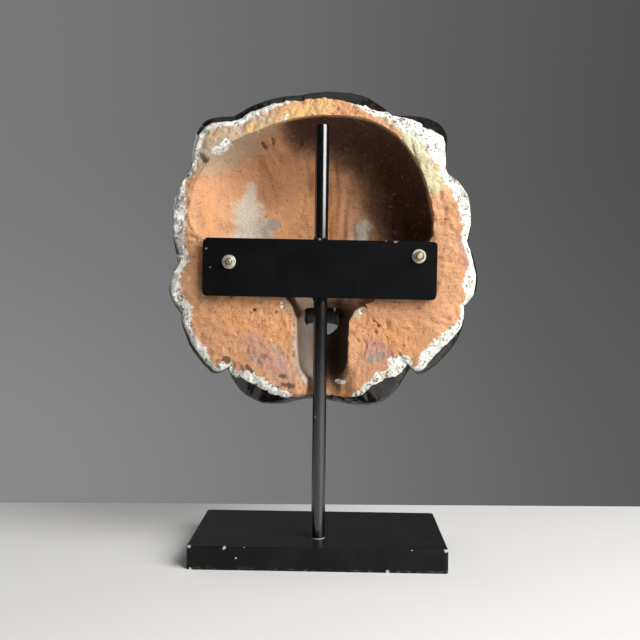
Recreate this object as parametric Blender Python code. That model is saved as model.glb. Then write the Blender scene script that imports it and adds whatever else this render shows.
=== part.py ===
"""Hollow terracotta lion mask of a wall fountain, hung by its back on a black stand.

Metres, +Z up. The origin is the centre of the base board's underside. The lion looks along -Y and
its hollow back faces +Y, where the stand's rod, cross plate and fixings are.
"""

import math

import bmesh
import bpy
import numpy as np
from mathutils import Matrix, Vector

# Base board
BASE_WIDTH = 0.2215
BASE_DEPTH = 0.1265
BASE_HEIGHT = 0.020
BASE_CORNER = 0.003
BASE_EASE = 0.001
# Rod, set near the board's rear edge
ROD_DIAMETER = 0.012
ROD_REAR_INSET = 0.0325
ROD_SEAT = 0.015
ROD_CHAMFER = 0.0012
ROD_TOP_GAP = 0.008
# Cross plate of flat bar, welded behind the rod
PLATE_WIDTH = 0.2014
PLATE_HEIGHT = 0.050
PLATE_THICKNESS = 0.005
PLATE_CORNER = 0.004
PLATE_SHIFT = 0.001
PLATE_BELOW_CENTRE = 0.0173
PLATE_TILT = math.radians(0.5)
# Fixings: side of the plate, distance in from its end, height above its middle line
FIXINGS = (
    ("left", 1, 0.0228, 0.0045),
    ("right", -1, 0.0158, 0.0123),
)
STUD_DIAMETER = 0.005
STUD_SET = 0.015
STUD_PROUD = 0.0022
NUT_FLATS = 0.008
NUT_HEIGHT = 0.004
WASHER_DIAMETER = 0.012
WASHER_HEIGHT = 0.0012
# Gap between pieces that touch, and round a piece that passes through another
TOUCH_GAP = 0.0003
HOLE_GAP = 0.0003
# Mask: height of its middle, radius of its mane and depth from the back rim to the nose
MASK_MIDDLE = 0.2728
MASK_RADIUS = 0.140
MASK_DEPTH = 0.112
MASK_WALL = 0.012
RIM_DEPTH = 0.020
HOLLOW_DEPTH = 0.064
CHANNEL_DEPTH = 0.060
ROD_CLEARANCE = 0.004
# Spout hole: its middle's height as a share of MASK_RADIUS, its width, its height across its own
# slope, and how far that slope falls to the front
MOUTH_AT = -0.479
MOUTH_WIDTH = 0.033
MOUTH_HEIGHT = 0.0193
MOUTH_SLOPE = math.radians(31)
# Cells along each side of the square sheets that are shaped into the front and the back
FRONT_CELLS = 54
BACK_CELLS = 40
SIDE_RINGS = 2
ROUND_SIDES = 24
BORE_SIDES = 16
# Edges that bend less than this are shaded smooth
ROUND_SMOOTH = math.radians(35)
CLAY_SMOOTH = math.radians(50)

# Places that follow from the sizes
ROD_RADIUS = ROD_DIAMETER / 2
ROD_Y = BASE_DEPTH / 2 - ROD_REAR_INSET
PLATE_FRONT = ROD_Y + ROD_RADIUS + TOUCH_GAP
PLATE_BACK = PLATE_FRONT + PLATE_THICKNESS
PLATE_MIDDLE = MASK_MIDDLE - PLATE_BELOW_CENTRE
RIM_Y = PLATE_FRONT - TOUCH_GAP
ROD_REACH = ROD_DIAMETER + ROD_CLEARANCE

# Locks round the mane, counterclockwise as seen from behind, from the side of -X: angle of the notch
# before the lock, its radius, angle of the crest, its radius, and how round the two flanks are.
# Radii are shares of MASK_RADIUS, angles are degrees.
MANE_LOCKS = (
    (4, 0.938, 20, 0.992, 1.2, 0.9),
    (31, 0.940, 46, 1.086, 2.2, 1.2),
    (63, 0.958, 78, 1.015, 0.9, 1.8),
    (97, 0.990, 117, 1.010, 1.4, 1.0),
    (124, 1.009, 134, 1.094, 1.2, 1.8),
    (150, 0.978, 155, 0.990, 1.0, 1.5),
    (186, 0.912, 196, 0.988, 1.0, 0.8),
    (205, 0.966, 228, 1.045, 0.7, 0.45),
    (232, 0.957, 246, 1.042, 1.05, 1.6),
    (268, 0.948, 291, 1.032, 2.0, 1.0),
    (308, 0.932, 325, 1.028, 0.14, 0.75),
    (339, 0.970, 346, 1.012, 0.8, 1.2),
)
# Width of the front's overhang over the back rim, as a share of MASK_RADIUS, and the places where it
# is wider or narrower: angle, half width in degrees and how much
RIM_INSET = 0.042
OVERHANGS = (
    (22, 16, -0.018),
    (49, 8, 0.050),
    (79, 8, 0.034),
    (88, 34, 0.024),
    (132, 9, 0.028),
    (190, 6, 0.020),
    (247, 8, 0.075),
    (294, 9, 0.092),
)
# Share of the back sheet's rings that lie inside the hollow's edge
EDGE_RING = 0.76
CHIN_SPREAD = 15
INNER_LOCK_PITCH = 30
# Edge of the hollow, seen from behind: angle in degrees and share of MASK_RADIUS
HOLLOW_EDGE = (
    (-4, 0.53),
    (4, 0.67),
    (12, 0.71),
    (26, 0.745),
    (42, 0.800),
    (62, 0.850),
    (90, 0.826),
    (120, 0.836),
    (139, 0.880),
    (160, 0.865),
    (172, 0.80),
    (184, 0.52),
    (200, 0.38),
    (235, 0.30),
    (270, 0.30),
    (305, 0.33),
    (330, 0.40),
)
# The channel that the pipe lay in, seen from behind: height and its left and right edge
CHANNEL_EDGES = (
    (-0.20, -0.29, 0.42),
    (-0.315, -0.205, 0.325),
    (-0.37, -0.167, 0.215),
    (-0.44, -0.149, 0.180),
    (-0.56, -0.148, 0.174),
    (-0.69, -0.142, 0.172),
    (-0.76, -0.125, 0.150),
    (-0.83, -0.060, 0.080),
)
CHANNEL_END = -0.83
# Widths of the slopes left and right of the saddle that clears the rod, under the channel
SADDLE_FLANKS = (0.008, 0.020)
# Middle and half width, in degrees, of the parts of the hollow's wall that slope: right, and more so left
HOLLOW_SLOPE = (12, 34)
HOLLOW_EASE = (172, 28)


def smoothstep(low, high, value):
    share = np.clip((value - low) / (high - low), 0, 1)
    return share * share * (3 - 2 * share)


def wrapped(degrees):
    """An angle brought to between -180 and 180 degrees."""
    return (degrees + 180) % 360 - 180


def bump(across, up, at, half, power=2.0):
    """A round hill one high, that ends at an ellipse."""
    reach = ((across - at[0]) / half[0]) ** 2 + ((up - at[1]) / half[1]) ** 2
    return np.clip(1 - reach, 0, 1) ** power


def ridge(across, up, start, end, width, power=1.5):
    """A hill one high along a straight line, with round ends."""
    run = (end[0] - start[0], end[1] - start[1])
    length = run[0] ** 2 + run[1] ** 2
    along = np.clip(((across - start[0]) * run[0] + (up - start[1]) * run[1]) / length, 0, 1)
    reach = (across - start[0] - along * run[0]) ** 2 + (up - start[1] - along * run[1]) ** 2
    return np.clip(1 - reach / width ** 2, 0, 1) ** power


def lock_place(angle):
    """The mane lock at each angle: the share of the way across it, and its radius."""
    first = MANE_LOCKS[0][0]
    angle = (angle - first) % 360 + first
    across = np.zeros(angle.shape)
    radius = np.ones(angle.shape)
    count = len(MANE_LOCKS)
    for index, (start, notch, crest, height, rise, fall) in enumerate(MANE_LOCKS):
        end, next_notch = MANE_LOCKS[(index + 1) % count][:2]
        end = end if end > start else end + 360
        inside = (angle >= start) & (angle < end)
        rising = np.clip((angle - start) / (crest - start), 0, 1)
        falling = np.clip((end - angle) / (end - crest), 0, 1)
        up = notch + (height - notch) * np.sin(rising * math.pi / 2) ** rise
        down = next_notch + (height - next_notch) * np.sin(falling * math.pi / 2) ** fall
        radius = np.where(inside, np.where(angle < crest, up, down), radius)
        across = np.where(inside, (angle - start) / (end - start), across)
    return across, radius


def mane_radius(angle):
    """Radius of the widest part of the mask at each angle, in degrees."""
    return MASK_RADIUS * lock_place(angle)[1]


def rim_radius(angle):
    """Outer radius of the flat back rim, which the mane overhangs."""
    inset = np.full(np.shape(angle), RIM_INSET)
    for middle, half, amount in OVERHANGS:
        inset = inset + amount * np.exp(-(wrapped(angle - middle) / half) ** 2 * 1.5)
    return mane_radius(angle) - MASK_RADIUS * inset


def edge_depth(angle):
    """Depth of the mask's widest line, which stands further forward at the chin to clear the rod."""
    chin = ROD_REACH + MASK_WALL - RIM_DEPTH
    return RIM_DEPTH + chin * np.exp(-(wrapped(angle - 270) / CHIN_SPREAD) ** 4)


def around(table, angle):
    """A smooth closed curve through the (angle, value) rows of a table."""
    turns = np.array([row[0] for row in table] * 3, float)
    values = np.array([row[1] for row in table] * 3, float)
    count = len(table)
    turns[:count] -= 360
    turns[2 * count:] += 360
    angle = (np.asarray(angle, float) - turns[count]) % 360 + turns[count]
    slopes = np.gradient(values, turns)
    index = np.clip(np.searchsorted(turns, angle, side="right") - 1, 0, len(turns) - 2)
    gap = turns[index + 1] - turns[index]
    part = (angle - turns[index]) / gap
    start = (1 + 2 * part) * (1 - part) ** 2 * values[index] + part * (1 - part) ** 2 * gap * slopes[index]
    end = part ** 2 * (3 - 2 * part) * values[index + 1] + part ** 2 * (part - 1) * gap * slopes[index + 1]
    return start + end


def mane_relief(across, angle, share):
    """Height of the locks over the dome, as a share of MASK_RADIUS."""
    side = np.clip(across * 5, -1, 1)
    place, _ = lock_place(angle + side * 14 * smoothstep(1.0, 0.55, share))
    outer = 0.070 * np.sin(math.pi * place) ** 0.6 + 0.022 * np.abs(np.sin(2 * math.pi * place))
    outer = outer * smoothstep(0.50, 0.70, share)
    # Inner ring of locks, whose tips lie over the outer ring
    turn = -side * 34 * (share - 0.55)
    place = ((angle + 90 + turn) / INNER_LOCK_PITCH) % 1
    tip = 0.86 - 0.75 * np.abs(place - 0.5) ** 2
    inner = 0.070 + 0.075 * np.sin(math.pi * place) ** 0.8
    inner = inner * smoothstep(0, 0.09, tip - share)
    return np.maximum(outer, inner)


def face_relief(across, up):
    """Height of the lion's face over the dome, as a share of MASK_RADIUS."""
    side = np.abs(across)
    height = 0.085 * bump(side, up, (0, -0.05), (0.52, 0.70), 1.0)
    # Forehead, brow and cheek
    height += 0.075 * bump(side, up, (0.17, 0.42), (0.20, 0.21))
    height += 0.110 * ridge(side, up, (0.11, 0.225), (0.36, 0.300), 0.120)
    height += 0.075 * bump(side, up, (0.37, -0.14), (0.19, 0.26))
    # Eye, sunk under the brow
    height -= 0.115 * bump(side, up, (0.235, 0.080), (0.190, 0.130), 1.3)
    height += 0.110 * bump(side, up, (0.230, 0.075), (0.115, 0.090), 1.3)
    # Nose with its pad
    height += 0.135 * ridge(side, up, (0, 0.26), (0, -0.12), 0.135, 0.9)
    height += 0.105 * bump(side, up, (0, -0.165), (0.170, 0.100), 0.9)
    # Muzzle, parted under the nose, over the open mouth
    height += 0.200 * bump(side, up, (0.150, -0.310), (0.235, 0.180), 1.0)
    height -= 0.050 * ridge(side, up, (0, -0.260), (0, -0.430), 0.060)
    height -= 0.020 * bump(side, up, (0, -0.560), (0.260, 0.135), 1.4)
    height -= 0.070 * ridge(side, up, (0.160, -0.510), (0.290, -0.610), 0.070)
    # Lower lip and chin
    height += 0.060 * ridge(side, up, (0, -0.690), (0.140, -0.660), 0.070)
    height += 0.130 * bump(side, up, (0, -0.750), (0.220, 0.150))
    return height


def ear_relief(across, up):
    """Height of the ears at the upper corners, as a share of MASK_RADIUS."""
    side = np.abs(across)
    shell = 0.250 * bump(side, up, (0.640, 0.650), (0.230, 0.250), 0.6)
    bowl = 0.170 * bump(side, up, (0.610, 0.620), (0.130, 0.150), 1.0)
    return shell - bowl


def front_height(across, up, angle, share):
    """Distance of the front surface from the back rim's plane. The places are shares of MASK_RADIUS."""
    dome = (1 - np.clip(share, 0, 1) ** 2.6) ** 0.62
    face_edge = np.sqrt((across / 0.44) ** 2 + ((up + 0.04) / 0.60) ** 2)
    in_face = 1 - smoothstep(0.90, 1.10, face_edge)
    edge_fade = np.clip(1 - share ** 8, 0, 1) ** 0.5
    carving = (1 - in_face) * mane_relief(across, angle, share)
    carving = carving + face_relief(across, up)
    carving = np.maximum(carving, ear_relief(across, up))
    edge = edge_depth(angle)
    return edge + (MASK_DEPTH - edge) * (0.60 * dome + carving * edge_fade * 1.30)


def back_depth(across, up, angle, radius):
    """Distance of the back surface from the back rim's plane. The places are shares of MASK_RADIUS."""
    edge = around(HOLLOW_EDGE, angle)
    inward = np.clip(radius / edge, 0, 1)
    sloping = np.exp(-(wrapped(angle - HOLLOW_SLOPE[0]) / HOLLOW_SLOPE[1]) ** 4)
    easy = np.exp(-(wrapped(angle - HOLLOW_EASE[0]) / HOLLOW_EASE[1]) ** 4)
    steep = (1 - inward ** 7) ** 0.55
    wall = steep * (1 - sloping) + (1 - inward ** 4.2) ** 0.70 * sloping
    hollow = HOLLOW_DEPTH * (wall * (1 - easy) + (1 - inward ** 2.2) ** 1.15 * easy)
    # Channel from the hollow down to the chin
    heights = [row[0] for row in CHANNEL_EDGES][::-1]
    left = np.interp(up, heights, [row[1] for row in CHANNEL_EDGES][::-1])
    right = np.interp(up, heights, [row[2] for row in CHANNEL_EDGES][::-1])
    off = np.abs((across - (left + right) / 2) / ((right - left) / 2))
    section = np.clip(1 - off ** 3.5, 0, 1) ** 0.5
    fall = np.clip((MOUTH_AT - up) / (MOUTH_AT - CHANNEL_END), 0, 1)
    run = np.sqrt(np.clip(1 - fall ** 2.2, 0, 1)) * (up < -0.12)
    channel = CHANNEL_DEPTH * section * run
    # Saddle under the channel, where the rod crosses the chin
    reach = ROD_REACH * smoothstep(-0.68, -0.82, up)
    place = across * MASK_RADIUS
    flat = ROD_RADIUS + 2 * ROD_CLEARANCE
    left_flank = smoothstep(flat, flat + SADDLE_FLANKS[0], -place)
    right_flank = smoothstep(flat, flat + SADDLE_FLANKS[1], place)
    saddle = reach * (1 - left_flank) * (1 - right_flank)
    return np.maximum(np.maximum(hollow, channel), saddle)


def sheet_places(verts):
    """Angle in degrees and share of the radius of each point of a square sheet pressed into a disc.

    Each square ring of the sheet becomes a round ring, so a ring can follow an edge.
    """
    flat = np.array([vert.co[:2] for vert in verts])
    ring = np.abs(flat).max(axis=1)
    x, y = (flat / np.maximum(ring, 1e-9)[:, None]).T
    angle = np.arctan2(y * np.sqrt(1 - x ** 2 / 2), x * np.sqrt(1 - y ** 2 / 2))
    return np.degrees(angle), ring


def put(verts, across, up, depth):
    for vert, a, u, d in zip(verts, across, up, depth):
        vert.co = (-a, RIM_Y - d, MASK_MIDDLE + u)


def front_sheet(mesh, cells):
    verts = bmesh.ops.create_grid(mesh, x_segments=cells, y_segments=cells, size=1)["verts"]
    angle, step = sheet_places(verts)
    share = 0.62 * step + 0.38 * np.sin(step * math.pi / 2)
    radius = share * mane_radius(angle)
    across = radius * np.cos(np.radians(angle))
    up = radius * np.sin(np.radians(angle))
    put(verts, across, up, front_height(across / MASK_RADIUS, up / MASK_RADIUS, angle, share))
    return verts


def back_sheet(mesh, cells):
    verts = bmesh.ops.create_grid(mesh, x_segments=cells, y_segments=cells, size=1)["verts"]
    angle, step = sheet_places(verts)
    rim = rim_radius(angle)
    guide = np.maximum(MASK_RADIUS * around(HOLLOW_EDGE, angle), 0.70 * rim)
    edge_step = round(EDGE_RING * cells / 2) / (cells / 2)
    inner = guide * np.clip(step / edge_step, 0, 1)
    outer = guide + (rim - guide) * (step - edge_step) / (1 - edge_step)
    radius = np.where(step < edge_step, inner, outer)
    across = radius * np.cos(np.radians(angle))
    up = radius * np.sin(np.radians(angle))
    depth = back_depth(across / MASK_RADIUS, up / MASK_RADIUS, angle, radius / MASK_RADIUS)
    # The clay keeps its wall under the deepest carving
    share = np.clip(radius / mane_radius(angle), 0, 1)
    front = front_height(across / MASK_RADIUS, up / MASK_RADIUS, angle, share)
    put(verts, across, up, np.minimum(depth, np.maximum(front - MASK_WALL, 0)))
    return verts


def open_edges(verts):
    chosen = set(verts)
    return [edge for edge in {e for vert in verts for e in vert.link_edges}
            if edge.is_boundary and chosen.issuperset(edge.verts)]


def side_wall(mesh, front, back):
    """Closes the rolled side between the widest part of the mane and the back rim."""
    loop = open_edges(front)
    for ring in range(1, SIDE_RINGS):
        step = ring / SIDE_RINGS
        grown = bmesh.ops.extrude_edge_only(mesh, edges=loop)["geom"]
        loop = [item for item in grown if isinstance(item, bmesh.types.BMEdge) and item.is_boundary]
        verts = list({vert for edge in loop for vert in edge.verts})
        across = np.array([-vert.co.x for vert in verts])
        up = np.array([vert.co.z - MASK_MIDDLE for vert in verts])
        angle = np.degrees(np.arctan2(up, across))
        rim = rim_radius(angle)
        radius = rim + (mane_radius(angle) - rim) * math.sqrt(1 - step ** 2)
        turn = np.radians(angle)
        rim_across = rim * np.cos(turn) / MASK_RADIUS
        rim_up = rim * np.sin(turn) / MASK_RADIUS
        low = back_depth(rim_across, rim_up, angle, rim / MASK_RADIUS)
        put(verts, radius * np.cos(turn), radius * np.sin(turn), edge_depth(angle) * (1 - step) + low * step)
    bmesh.ops.bridge_loops(mesh, edges=loop + open_edges(back))


def make_material(name, colour, roughness, metallic=0.0):
    material = bpy.data.materials.new(name)
    material.use_nodes = True
    shader = material.node_tree.nodes["Principled BSDF"]
    shader.inputs["Base Color"].default_value = (*colour, 1)
    shader.inputs["Roughness"].default_value = roughness
    shader.inputs["Metallic"].default_value = metallic
    return material


def make_object(name, mesh, material=None, smooth_under=0.0):
    """Writes a bmesh to a new object and links it. Edges that bend less than smooth_under are smooth."""
    mesh.normal_update()
    bmesh.ops.recalc_face_normals(mesh, faces=mesh.faces)
    data = bpy.data.meshes.new(name)
    mesh.to_mesh(data)
    mesh.free()
    if smooth_under:
        data.shade_smooth()
        data.set_sharp_from_angle(angle=smooth_under)
    if material:
        data.materials.append(material)
    item = bpy.data.objects.new(name, data)
    bpy.context.scene.collection.objects.link(item)
    return item


def cut(item, name, mesh):
    """Cuts the shape of a bmesh out of an object."""
    cutter = make_object(name, mesh)
    cutter.hide_render = True
    cutter.display_type = "WIRE"
    modifier = item.modifiers.new(name, "BOOLEAN")
    modifier.operation = "DIFFERENCE"
    modifier.object = cutter


def cylinder(radius, low, high, sides=ROUND_SIDES, matrix=None):
    """A bmesh cylinder along Z, from low to high, then placed by a matrix."""
    mesh = bmesh.new()
    placed = Matrix.Translation((0, 0, (low + high) / 2))
    bmesh.ops.create_cone(mesh, cap_ends=True, segments=sides, radius1=radius, radius2=radius,
                          depth=high - low, matrix=placed)
    if matrix:
        mesh.transform(matrix)
    return mesh


def block(size, middle):
    mesh = bmesh.new()
    bmesh.ops.create_cube(mesh, size=1)
    mesh.transform(Matrix.Translation(middle) @ Matrix.Diagonal((*size, 1)))
    return mesh


def ease_edges(mesh, chosen, width, segments):
    edges = [edge for edge in mesh.edges if chosen(edge)]
    bmesh.ops.bevel(mesh, geom=edges, offset=width, segments=segments, profile=0.5,
                    affect="EDGES", material=-1)


def runs_along(edge, axis):
    return abs((edge.verts[0].co - edge.verts[1].co).normalized()[axis]) > 0.99


def fixing_places():
    """Name, X and Z of each fixing, on the tilted plate."""
    for name, side, inset, rise in FIXINGS:
        along = side * (PLATE_WIDTH / 2 - inset)
        x = PLATE_SHIFT + along * math.cos(PLATE_TILT) - rise * math.sin(PLATE_TILT)
        z = PLATE_MIDDLE + along * math.sin(PLATE_TILT) + rise * math.cos(PLATE_TILT)
        yield name, x, z


def facing_back(x, z):
    """Turns a shape's +Z to the back, +Y, at a place on the plate."""
    return Matrix.Translation((x, 0, z)) @ Matrix.Rotation(-math.pi / 2, 4, "X")


def make_mask(material):
    mesh = bmesh.new()
    front = front_sheet(mesh, FRONT_CELLS)
    back = back_sheet(mesh, BACK_CELLS)
    side_wall(mesh, front, back)
    mask = make_object("mask", mesh, material, CLAY_SMOOTH)
    # Spout hole, with a flatter roof than floor, which slopes down to the open mouth
    spout = cylinder(0.5, -MASK_DEPTH / 2, MASK_DEPTH / 2)
    for vert in spout.verts:
        if vert.co.y > 0:
            vert.co.y = 0.5 * max(1 - abs(2 * vert.co.x) ** 4, 0) ** 0.5
    spout.transform(Matrix.Diagonal((MOUTH_WIDTH, MOUTH_HEIGHT, 1, 1)))
    turn = Matrix.Rotation(math.pi / 2 + MOUTH_SLOPE, 4, "X")
    place = Vector((0, RIM_Y - CHANNEL_DEPTH, MASK_MIDDLE + MOUTH_AT * MASK_RADIUS))
    spout.transform(Matrix.Translation(place) @ turn)
    cut(mask, "spout_cutter", spout)
    for name, x, z in fixing_places():
        drill = cylinder(STUD_DIAMETER / 2 + HOLE_GAP, RIM_Y - STUD_SET - TOUCH_GAP, RIM_Y + STUD_SET,
                         BORE_SIDES, facing_back(x, z))
        cut(mask, "drill_" + name, drill)


def make_base(material):
    mesh = block((BASE_WIDTH, BASE_DEPTH, BASE_HEIGHT), (0, 0, BASE_HEIGHT / 2))
    ease_edges(mesh, lambda edge: runs_along(edge, 2), BASE_CORNER, 4)
    ease_edges(mesh, lambda edge: all(vert.co.z > BASE_HEIGHT * 0.99 for vert in edge.verts), BASE_EASE, 2)
    base = make_object("base", mesh, material)
    seat = cylinder(ROD_RADIUS + HOLE_GAP, BASE_HEIGHT - ROD_SEAT - TOUCH_GAP, BASE_HEIGHT * 2,
                    matrix=Matrix.Translation((0, ROD_Y, 0)))
    cut(base, "rod_seat_cutter", seat)


def rod_top():
    edge = MASK_RADIUS * float(around(HOLLOW_EDGE, 90))
    return MASK_MIDDLE + edge - ROD_TOP_GAP


def make_rod(material):
    low = BASE_HEIGHT - ROD_SEAT
    mesh = cylinder(ROD_RADIUS, low, rod_top(), matrix=Matrix.Translation((0, ROD_Y, 0)))
    top = rod_top() - ROD_CHAMFER
    ease_edges(mesh, lambda edge: all(vert.co.z > top for vert in edge.verts), ROD_CHAMFER, 2)
    make_object("rod", mesh, material, ROUND_SMOOTH)


def make_plate(material):
    middle = Vector((PLATE_SHIFT, (PLATE_FRONT + PLATE_BACK) / 2, PLATE_MIDDLE))
    mesh = block((PLATE_WIDTH, PLATE_THICKNESS, PLATE_HEIGHT), (0, 0, 0))
    ease_edges(mesh, lambda edge: runs_along(edge, 1), PLATE_CORNER, 4)
    mesh.transform(Matrix.Translation(middle) @ Matrix.Rotation(-PLATE_TILT, 4, "Y"))
    plate = make_object("cross_plate", mesh, material)
    for name, x, z in fixing_places():
        hole = cylinder(STUD_DIAMETER / 2 + HOLE_GAP, PLATE_FRONT - PLATE_THICKNESS,
                        PLATE_BACK + PLATE_THICKNESS, BORE_SIDES, facing_back(x, z))
        cut(plate, "plate_hole_" + name, hole)


def make_fixing(name, x, z, steel, zinc):
    """A threaded stud set in the clay, with a washer and a hexagon nut behind the plate."""
    washer_low = PLATE_BACK + TOUCH_GAP
    nut_low = washer_low + WASHER_HEIGHT + TOUCH_GAP
    nut_high = nut_low + NUT_HEIGHT
    bore = STUD_DIAMETER / 2 + HOLE_GAP
    place = facing_back(x, z)
    stud = cylinder(STUD_DIAMETER / 2, RIM_Y - STUD_SET, nut_high + STUD_PROUD, BORE_SIDES, place)
    make_object("stud_" + name, stud, steel, ROUND_SMOOTH)
    disc = cylinder(WASHER_DIAMETER / 2, washer_low, washer_low + WASHER_HEIGHT, matrix=place)
    washer = make_object("washer_" + name, disc, steel, ROUND_SMOOTH)
    cut(washer, "washer_bore_" + name, cylinder(bore, PLATE_FRONT, nut_high, BORE_SIDES, place))
    across_corners = NUT_FLATS / math.cos(math.pi / 6)
    prism = cylinder(across_corners / 2, nut_low, nut_high, 6, place)
    nut = make_object("nut_" + name, prism, zinc)
    cut(nut, "nut_bore_" + name, cylinder(bore, PLATE_FRONT, nut_high + NUT_HEIGHT, BORE_SIDES, place))


def main():
    for item in list(bpy.data.objects):
        bpy.data.objects.remove(item)
    clay = make_material("terracotta", (0.56, 0.28, 0.13), 0.85)
    lacquer = make_material("black_lacquer", (0.012, 0.012, 0.013), 0.35)
    paint = make_material("black_paint", (0.010, 0.010, 0.011), 0.40)
    steel = make_material("steel", (0.45, 0.43, 0.38), 0.40, 1.0)
    zinc = make_material("zinc", (0.50, 0.44, 0.32), 0.45, 1.0)
    make_mask(clay)
    make_base(lacquer)
    make_rod(paint)
    make_plate(paint)
    for name, x, z in fixing_places():
        make_fixing(name, x, z, steel, zinc)


main()
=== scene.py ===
"""Looks of the hollow lion mask on its black stand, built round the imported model.

Metres, +Z up. The lion looks along -Y. The camera stands behind the mask, on the side of +Y.
"""

import functools
import itertools
import math
import operator

import bmesh
import bpy
import numpy as np
from mathutils import Matrix, Vector


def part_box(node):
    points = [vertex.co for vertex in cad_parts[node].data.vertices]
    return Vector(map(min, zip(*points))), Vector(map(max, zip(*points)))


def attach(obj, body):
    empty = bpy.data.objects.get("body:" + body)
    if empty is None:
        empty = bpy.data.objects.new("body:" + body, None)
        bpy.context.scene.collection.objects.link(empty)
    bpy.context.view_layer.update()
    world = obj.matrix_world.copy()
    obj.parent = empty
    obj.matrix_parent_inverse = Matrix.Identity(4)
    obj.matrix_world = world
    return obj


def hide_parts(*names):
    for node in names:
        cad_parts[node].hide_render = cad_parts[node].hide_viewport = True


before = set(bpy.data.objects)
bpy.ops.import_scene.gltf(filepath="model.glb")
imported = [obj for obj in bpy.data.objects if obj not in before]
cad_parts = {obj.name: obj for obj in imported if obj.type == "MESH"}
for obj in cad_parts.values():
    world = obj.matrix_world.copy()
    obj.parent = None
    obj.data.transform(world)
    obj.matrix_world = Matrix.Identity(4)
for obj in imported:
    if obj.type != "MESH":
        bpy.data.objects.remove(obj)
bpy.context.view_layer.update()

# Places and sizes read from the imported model
BASE_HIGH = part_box("base")[1]
ROD_LOW, ROD_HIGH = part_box("rod")
ROD_RADIUS = (ROD_HIGH.x - ROD_LOW.x) / 2
ROD_Y = (ROD_HIGH.y + ROD_LOW.y) / 2
PLATE_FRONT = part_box("cross_plate")[0].y
RIM_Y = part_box("mask")[1].y

# Mask sizes, as in the solid
MASK_MIDDLE = 0.2728
MASK_RADIUS = 0.140
MASK_DEPTH = 0.112
MASK_WALL = 0.012
RIM_DEPTH = 0.020
HOLLOW_DEPTH = 0.064
CHANNEL_DEPTH = 0.060
ROD_REACH = 0.016
MOUTH_WIDTH = 0.033
MOUTH_HEIGHT = 0.0193
MOUTH_SLOPE = math.radians(31)
# Cross plate and fixings
PLATE_WIDTH = 0.2014
PLATE_HEIGHT = 0.050
PLATE_SHIFT = 0.001
PLATE_MIDDLE = MASK_MIDDLE - 0.0173
PLATE_TILT = math.radians(0.5)
FIXINGS = (("left", 1, 0.0228, 0.0045), ("right", -1, 0.0158, 0.0123))
STUD_RADIUS = 0.0025
STUD_HOLE_DEPTH = 0.0153
HOLE_GAP = 0.0003
THREAD_PITCH = 0.0008
# Cells along each side of the square sheets that become the front and the back of the mask
CELLS = 206
SIDE_RINGS = 8

# Camera, worked out from the photograph
CAMERA_AT = Vector((-0.0145, 0.80035, 0.2354))
CAMERA_YAW = math.radians(-1.1)
CAMERA_PITCH = math.radians(1.8)
CAMERA_ROLL = math.radians(0.64)
CAMERA_LENS = 49.69

# Locks round the mane as seen from behind, counterclockwise from the side of -X: angle of the notch
# before the lock, its radius, angle of the crest, its radius, and how round the two flanks are
MANE_LOCKS = (
    (4, 0.928, 20, 0.979, 1.2, 0.9),
    (31, 0.924, 46, 1.082, 2.2, 1.2),
    (63, 0.950, 78, 1.000, 0.9, 1.8),
    (97, 0.984, 117, 1.004, 1.4, 1.0),
    (124, 1.009, 134, 1.094, 1.2, 1.8),
    (150, 0.978, 155, 0.990, 1.0, 1.5),
    (186, 0.916, 196, 1.000, 1.0, 0.8),
    (205, 0.978, 228, 1.048, 0.7, 0.45),
    (232, 0.950, 246, 1.044, 0.85, 1.6),
    (268, 0.948, 291, 1.032, 2.0, 1.25),
    (308, 0.934, 325, 1.030, 0.14, 0.75),
    (339, 0.968, 346, 1.006, 0.8, 1.4),
)
# How far the clay rolls over outside the flat rim, as a share of MASK_RADIUS
RIM_ROLL = 0.010
# How fast the side of the mane turns from its widest line to the rim: 1 is straight
SIDE_TURN = 1.6
CHIN_SPREAD = 15
INNER_LOCK_PITCH = 30
EDGE_RING = 0.76
HOLLOW_EDGE = (
    (-4, 0.53), (4, 0.67), (12, 0.71), (26, 0.745), (42, 0.800), (62, 0.850), (90, 0.826),
    (120, 0.836), (139, 0.880), (160, 0.865), (172, 0.80), (184, 0.52), (200, 0.38), (235, 0.30),
    (270, 0.30), (305, 0.33), (330, 0.40),
)
CHANNEL_EDGES = (
    (-0.20, -0.29, 0.42),
    (-0.315, -0.205, 0.325),
    (-0.37, -0.167, 0.215),
    (-0.44, -0.149, 0.180),
    (-0.56, -0.148, 0.174),
    (-0.69, -0.142, 0.172),
    (-0.76, -0.125, 0.150),
    (-0.83, -0.060, 0.080),
)
CHANNEL_END = -0.83
MOUTH_AT = -0.479
# Width of the chalky band inside the rim, by angle, as a share of MASK_RADIUS
CHALK_WIDTHS = (
    (0, 0.018), (10, 0.045), (20, 0.070), (30, 0.055), (38, 0.050), (46, 0.100), (54, 0.090), (64, 0.022),
    (72, 0.016), (80, 0.004), (100, 0.004), (110, 0.018), (118, 0.026), (130, 0.022), (142, 0.030),
    (148, 0.024), (155, 0.018), (160, 0.050), (165, 0.064), (180, 0.058), (190, 0.050), (202, 0.068),
    (212, 0.034), (222, 0.040), (230, 0.018), (238, 0.040), (246, 0.050), (254, 0.030), (261, 0.002),
    (281, 0.002), (288, 0.034), (296, 0.040), (303, 0.060), (309, 0.015), (313, 0.060), (320, 0.060),
    (328, 0.044), (336, 0.010), (341, 0.016), (346, 0.064), (351, 0.048), (356, 0.018),
)
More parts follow.
